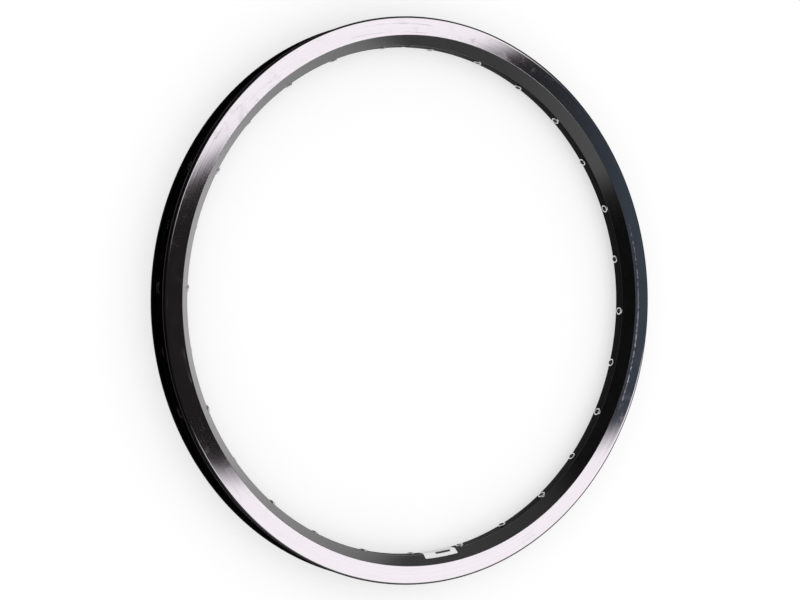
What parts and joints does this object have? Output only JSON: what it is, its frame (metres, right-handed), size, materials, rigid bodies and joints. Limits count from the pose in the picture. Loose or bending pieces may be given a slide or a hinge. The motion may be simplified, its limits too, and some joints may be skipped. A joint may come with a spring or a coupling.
{
  "type": "bicycle rim",
  "caption": "Double-wall aluminium bicycle rim with hooked flanges, machined brake tracks, a V-shaped inner wall, eyeleted spoke holes and a valve hole.",
  "frame": {"origin": "middle of the hoop on the wheel's axis, halfway between the two sides", "axes": "+Z along the wheel's axis, out of the side that the picture shows; the valve hole lies on +Y and the butted ends meet on -Y"},
  "size_m": [0.42, 0.42, 0.024],
  "materials": {
    "black_aluminium": "black anodised, semi-gloss, with brake tracks turned bright",
    "eyelet_steel": "plated, satin",
    "plain_aluminium": "as extruded",
    "label_film": "white film"
  },
  "bodies": {
    "root": {"rim_hoop": "black_aluminium", "spoke_eyelets": "eyelet_steel", "joint_sleeve": "plain_aluminium", "label": "label_film"}
  },
  "joints": []
}
